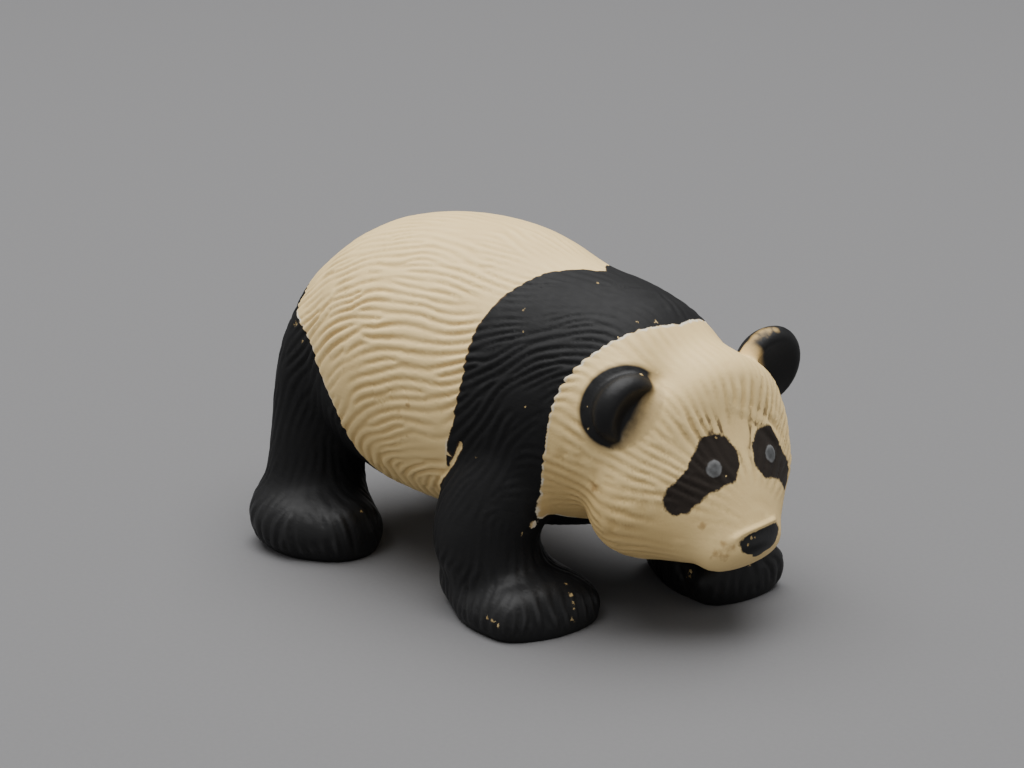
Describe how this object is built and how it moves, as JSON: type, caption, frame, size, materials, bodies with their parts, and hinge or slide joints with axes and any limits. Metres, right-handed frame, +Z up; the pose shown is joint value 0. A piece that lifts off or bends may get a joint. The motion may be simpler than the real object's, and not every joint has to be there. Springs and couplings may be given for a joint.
{
  "type": "panda figurine",
  "caption": "Small solid plastic panda walking on four flat paws with its head low, its carved fur painted cream and black",
  "frame": {"origin": "middle of the footprint, on the plane of the four soles", "axes": "+X towards the nose, along the longest extent; +Y to the animal's own left; +Z up"},
  "size_m": [0.0708, 0.044, 0.0425],
  "materials": {
    "painted_plastic": "satin cream plastic with brushed black paint on legs, shoulder band, ears, eye patches and nose"
  },
  "bodies": {
    "root": {"panda_figurine": "painted_plastic"}
  },
  "joints": []
}
